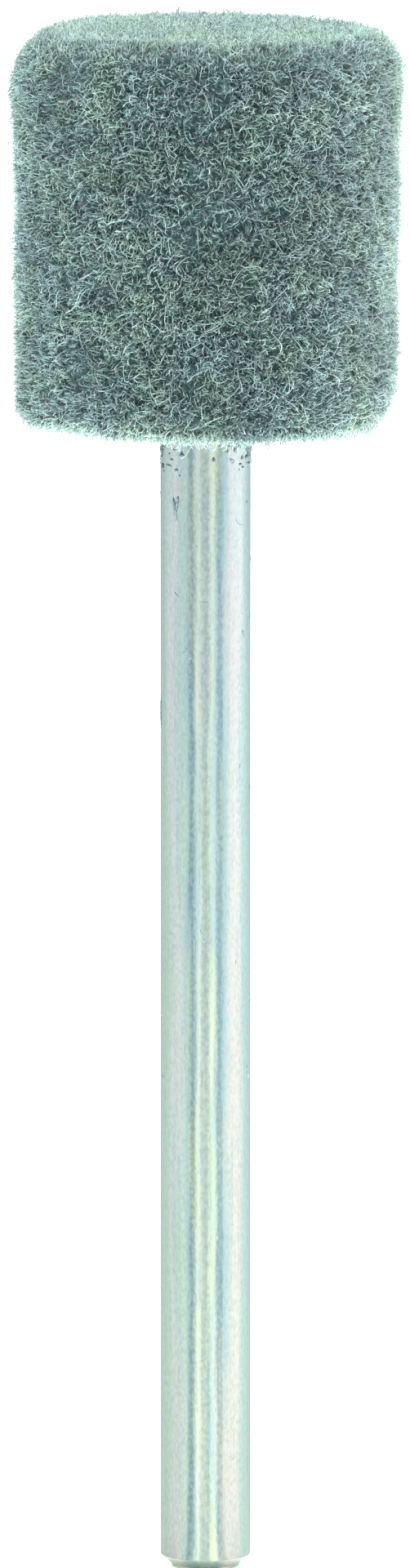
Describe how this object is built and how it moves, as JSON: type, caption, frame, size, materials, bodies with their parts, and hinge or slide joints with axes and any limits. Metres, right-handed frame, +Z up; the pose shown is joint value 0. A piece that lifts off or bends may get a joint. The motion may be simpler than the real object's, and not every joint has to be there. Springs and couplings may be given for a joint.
{
  "type": "felt polishing wheel",
  "caption": "Small cylinder of hard pressed wool felt bonded onto a plain round steel shank, which a rotary tool's collet grips, for polishing stone and metal.",
  "frame": {"origin": "centre of the shank's free end", "axes": "+Z up along the axis the wheel spins about, from the shank's free end to the felt; the shank leaves the collet's side along -Z; X and Y are free, because the object is round"},
  "size_m": [0.0126, 0.0126, 0.0514],
  "materials": {
    "plated_steel": "bright zinc plate over drawn steel, with fine lengthwise drawing lines",
    "wool_felt": "matt, dense pressed wool with a short curly nap, grey green",
    "cured_glue": "glossy cured resin, dark grey"
  },
  "bodies": {
    "root": {"shank": "plated_steel", "felt_head": "wool_felt", "adhesive_bond": "cured_glue"}
  },
  "joints": []
}
